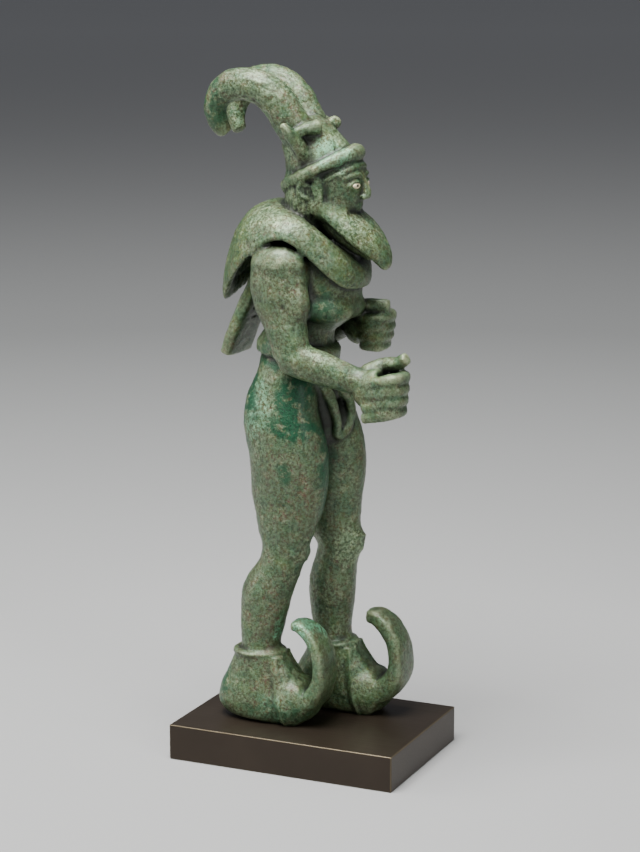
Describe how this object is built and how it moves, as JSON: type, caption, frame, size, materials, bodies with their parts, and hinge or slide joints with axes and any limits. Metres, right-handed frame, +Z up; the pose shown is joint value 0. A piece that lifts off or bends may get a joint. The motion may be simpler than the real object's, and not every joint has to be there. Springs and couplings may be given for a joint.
{
  "type": "striding figure statuette",
  "caption": "Cast metal statuette of a striding horned figure in a feathered cape, roll belt and curled-toe boots, on a plain rectangular plinth.",
  "frame": {"origin": "centre of the plinth's underside", "axes": "+Z up; the figure faces -Y, and its own right side is -X"},
  "size_m": [0.045, 0.0636, 0.1811],
  "materials": {
    "patinated_copper": "green corrosion patina, satin, pitted",
    "shell": "satin cream shell with a dark round pupil",
    "plinth_metal": "dark brown patinated, brushed satin"
  },
  "bodies": {
    "root": {"figure": "patinated_copper", "eye_inlay_right": "shell", "eye_inlay_left": "shell", "plinth": "plinth_metal"}
  },
  "joints": []
}
